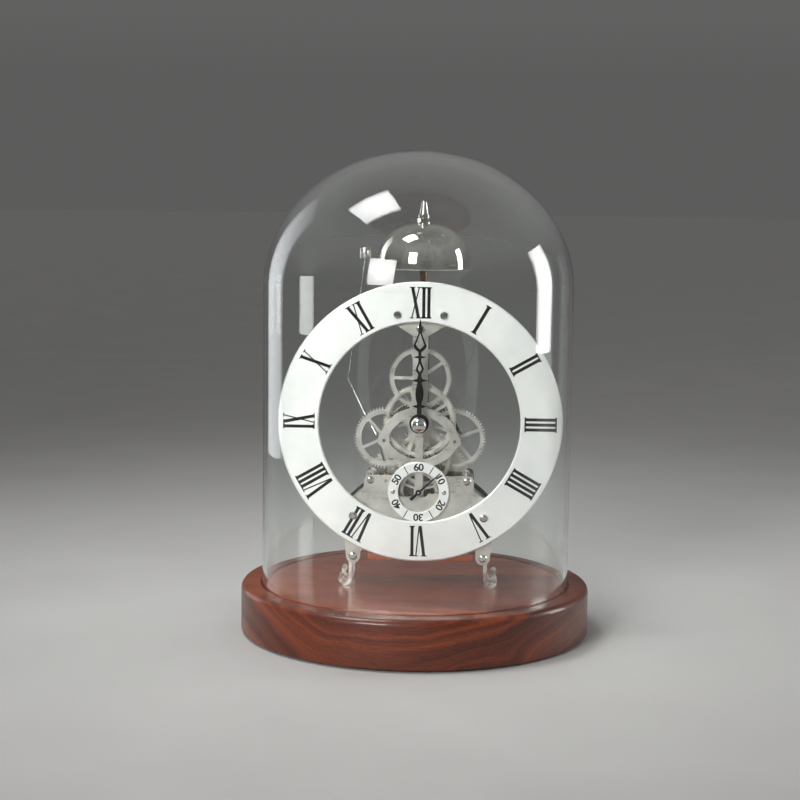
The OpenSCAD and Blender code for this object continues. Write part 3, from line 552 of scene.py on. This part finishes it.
def glyph_v(x, width=4.9):
    """Thick left stroke and thin right stroke that meet at the foot."""
    h, w = H_GLYPH, 1.62
    a, b, foot = x + 0.95, x + width - 0.45, x + width * 0.56
    return [slant(foot - 0.1, 0, a, h, w * 0.98), slant(foot + 0.45, 0.3, b, h, W_THIN + 0.08),
            serif(a, h, w, 0.65), serif(b, h, W_THIN, 0.8)]


def glyph_x(x, width=4.9):
    h, w = H_GLYPH, 1.62
    return [slant(x + width - 1.0, 0, x + 1.0, h, w), slant(x + 0.75, 0, x + width - 0.75, h, W_THIN + 0.05),
            serif(x + 1.0, h, w, 0.6), serif(x + width - 0.75, h, W_THIN, 0.72),
            serif(x + 0.75, 0, W_THIN, 0.72), serif(x + width - 1.0, 0, w, 0.6)]


WIDTH = {"I": PITCH_I, "V": 5.5, "X": 5.2}


def numeral(text):
    parts, x = [], 0.0
    for k, ch in enumerate(text):
        if ch == "I":
            parts += glyph_i(x + PITCH_I / 2, W_I if len(text) > 1 else 1.75, 0.5 if len(text) > 1 else 0.75)
        elif ch == "V":
            parts += glyph_v(x, WIDTH["V"])
        else:
            parts += glyph_x(x, WIDTH["X"])
        x += WIDTH[ch] + (0.25 if ch != "I" else 0.0)
    return [[(p[0] - x / 2, p[1] - H_GLYPH / 2) for p in q] for q in parts]


RING_FACE = -22.0
for i, text in enumerate(["XII", "I", "II", "III", "IIII", "V", "VI", "VII", "VIII", "IX", "X", "XI"]):
    bm = bmesh.new()
    a = math.radians(30 * i)
    r = 60.5
    x0, z0 = MX + r * math.sin(a), HZ + r * math.cos(a)
    for k, q in enumerate(numeral(text)):
        strip(bm, q, x0, z0, a, RING_FACE + 0.02, 0.07 + 0.0006 * k)
    obj_from("numeral_%02d" % (i if i else 12), bm, [M["ink"]], "root", 20)

# ---------------------------------------------------------------- seconds dial
SX, SZ, SUB_FACE = MX, HZ - 35.7, -20.4
for i, text in enumerate(["60", "10", "20", "30", "40", "50"]):
    cu = bpy.data.curves.new("digits_%s" % text, "FONT")
    cu.body = text
    cu.align_x, cu.align_y = "CENTER", "CENTER"
    cu.size = 5.0 * MM
    cu.offset = 0.11 * MM
    cu.extrude = 0.03 * MM
    cu.space_character = 0.92
    tmp = bpy.data.objects.new("tmp", cu)
    bpy.context.scene.collection.objects.link(tmp)
    bpy.context.view_layer.update()
    me = bpy.data.meshes.new_from_object(tmp.evaluated_get(bpy.context.evaluated_depsgraph_get()))
    bpy.data.objects.remove(tmp)
    a = math.radians(60 * i)
    xs = [v.co.x for v in me.vertices]
    ys = [v.co.y for v in me.vertices]
    cx, cy = (min(xs) + max(xs)) / 2, (min(ys) + max(ys)) / 2
    c, s = math.cos(a), math.sin(a)
    rr = 12.9 * MM
    for v in me.vertices:
        px, pz = (v.co.x - cx) * 1.08, (v.co.y - cy)
        y = v.co.z
        v.co = Vector((SX * MM + rr * s + px * c + pz * s, (SUB_FACE - 0.02) * MM - y, SZ * MM + rr * c - px * s + pz * c))
    bm = bmesh.new()
    bm.from_mesh(me)
    bmesh.ops.remove_doubles(bm, verts=bm.verts, dist=1e-7)
    obj_from("seconds_%s" % text, bm, [M["ink"]], "root", 30)
bm = bmesh.new()
for d in (30, 90, 150, 210, 270, 330):
    if d in (90, 270):
        continue
    a = math.radians(d)
    strip(bm, [(-0.22, 10.7), (0.22, 10.7), (0.22, 15.1), (-0.22, 15.1)], SX, SZ, a, SUB_FACE + 0.02, 0.07)
obj_from("seconds_lines", bm, [M["ink"]], "root", 20)

# ---------------------------------------------------------------- small bevels on cut sheet
for n, w in (("front_plate", 0.16), ("rear_plate", 0.16), ("middle_bridge", 0.14), ("lower_bar", 0.14),
             ("front_legs", 0.14), ("rear_legs", 0.14), ("minute_hand", 0.07), ("hour_hand", 0.07),
             ("great_wheel", 0.1), ("second_wheel", 0.09), ("strike_wheel", 0.09), ("centre_wheel", 0.07),
             ("hour_wheel", 0.07), ("ratchet_wheel", 0.08), ("hammer_head", 0.2)):
    o = NODES[n]
    wd = o.modifiers.new("weld", "WELD")
    wd.merge_threshold = 1e-6
    bv = o.modifiers.new("edge", "BEVEL")
    bv.width = w * MM
    bv.segments = 2
    bv.limit_method = "ANGLE"
    bv.angle_limit = math.radians(40)
    bv.use_clamp_overlap = True
    bv.harden_normals = False

# ---------------------------------------------------------------- camera
D, HC, PITCH, YAW, ROLL, FPX, PHI = 0.915, 0.229354, 0.1192, 0.0096, 0.0124, 1787.9, 0.0327
a = PHI + YAW
fw = Vector((-math.sin(a) * math.cos(PITCH), math.cos(a) * math.cos(PITCH), -math.sin(PITCH)))
rt = Vector((math.cos(a), math.sin(a), 0))
up = rt.cross(fw)
rt2 = rt * math.cos(ROLL) + up * math.sin(ROLL)
up2 = -rt * math.sin(ROLL) + up * math.cos(ROLL)
cam = bpy.data.objects.new("camera", bpy.data.cameras.new("camera"))
bpy.context.scene.collection.objects.link(cam)
cam.matrix_world = Matrix(((rt2.x, up2.x, -fw.x, D * math.sin(PHI)), (rt2.y, up2.y, -fw.y, -D * math.cos(PHI)),
                           (rt2.z, up2.z, -fw.z, HC), (0, 0, 0, 1)))
cam.data.sensor_width = 36
cam.data.lens = 36 * FPX / 800
cam.data.clip_start, cam.data.clip_end = 0.01, 50
bpy.context.scene.camera = cam

# ---------------------------------------------------------------- floor
def floor_mat():
    m = Mat("floor_pale", Roughness=0.7)
    n = m.noise(m.coords(), 0.012, 3)
    m.put("Base Color", m.ramp(n, [(0.3, (0.47, 0.467, 0.46)), (0.7, (0.5, 0.497, 0.49))]))
    return m.m


bm = bmesh.new()
bmesh.ops.create_circle(bm, cap_ends=True, segments=96, radius=14.0)
me = bpy.data.meshes.new("floor")
bm.to_mesh(me)
bm.free()
me.materials.append(floor_mat())
floor = bpy.data.objects.new("floor", me)
bpy.context.scene.collection.objects.link(floor)


# ---------------------------------------------------------------- light
def area(name, pos, target, size, power, spread, colour=(1, 1, 1)):
    li = bpy.data.lights.new(name, "AREA")
    li.shape = "RECTANGLE"
    li.size, li.size_y = size
    li.energy = power
    li.spread = math.radians(spread)
    li.color = colour
    o = bpy.data.objects.new(name, li)
    bpy.context.scene.collection.objects.link(o)
    o.location = pos
    o.rotation_euler = (Vector(target) - Vector(pos)).to_track_quat("-Z", "Y").to_euler()
    return o


area("key_front_left", (-0.62, -1.3, 0.62), (0, -0.02, 0.12), (0.5, 0.6), 1.3, 44, (1.0, 0.985, 0.96))
area("strip_left", (-0.52, 0.36, 0.31), (0, 0, 0.28), (0.28, 0.62), 0.15, 70, (0.94, 0.97, 1.0))
area("fill_right", (1.2, 0.32, 0.36), (0, 0, 0.13), (0.36, 0.66), 1.15, 70, (1.0, 0.99, 0.97))
area("top", (-0.42, -0.1, 1.15), (0, 0, 0.05), (0.42, 0.42), 0.9, 60)

world = bpy.data.worlds.new("studio")
bpy.context.scene.world = world
world.use_nodes = True
nt = world.node_tree
bg = nt.nodes["Background"]
tc = nt.nodes.new("ShaderNodeTexCoord")
sp = nt.nodes.new("ShaderNodeSeparateXYZ")
nt.links.new(tc.outputs["Generated"], sp.inputs[0])
cr = nt.nodes.new("ShaderNodeValToRGB")
el = cr.color_ramp.elements
stops = [(0.0, 0.108), (0.06, 0.108), (0.25, 0.17), (0.60, 0.26), (1.0, 0.18)]
while len(el) < len(stops):
    el.new(0.5)
for e, (p, v) in zip(el, stops):
    e.position = p
    e.color = (v, v * 0.995, v * 0.985, 1)
nt.links.new(sp.outputs["Z"], cr.inputs[0])
nt.links.new(cr.outputs[0], bg.inputs["Color"])
bg.inputs["Strength"].default_value = 1.0

sc = bpy.context.scene
sc.view_settings.view_transform = "Standard"
sc.view_settings.look = "None"
sc.cycles.max_bounces = 14
sc.cycles.transmission_bounces = 12
sc.cycles.glossy_bounces = 6
sc.cycles.transparent_max_bounces = 12
sc.cycles.caustics_refractive = True
sc.cycles.caustics_reflective = True
sc.cycles.sample_clamp_indirect = 6.0
sc.cycles.use_denoising = True
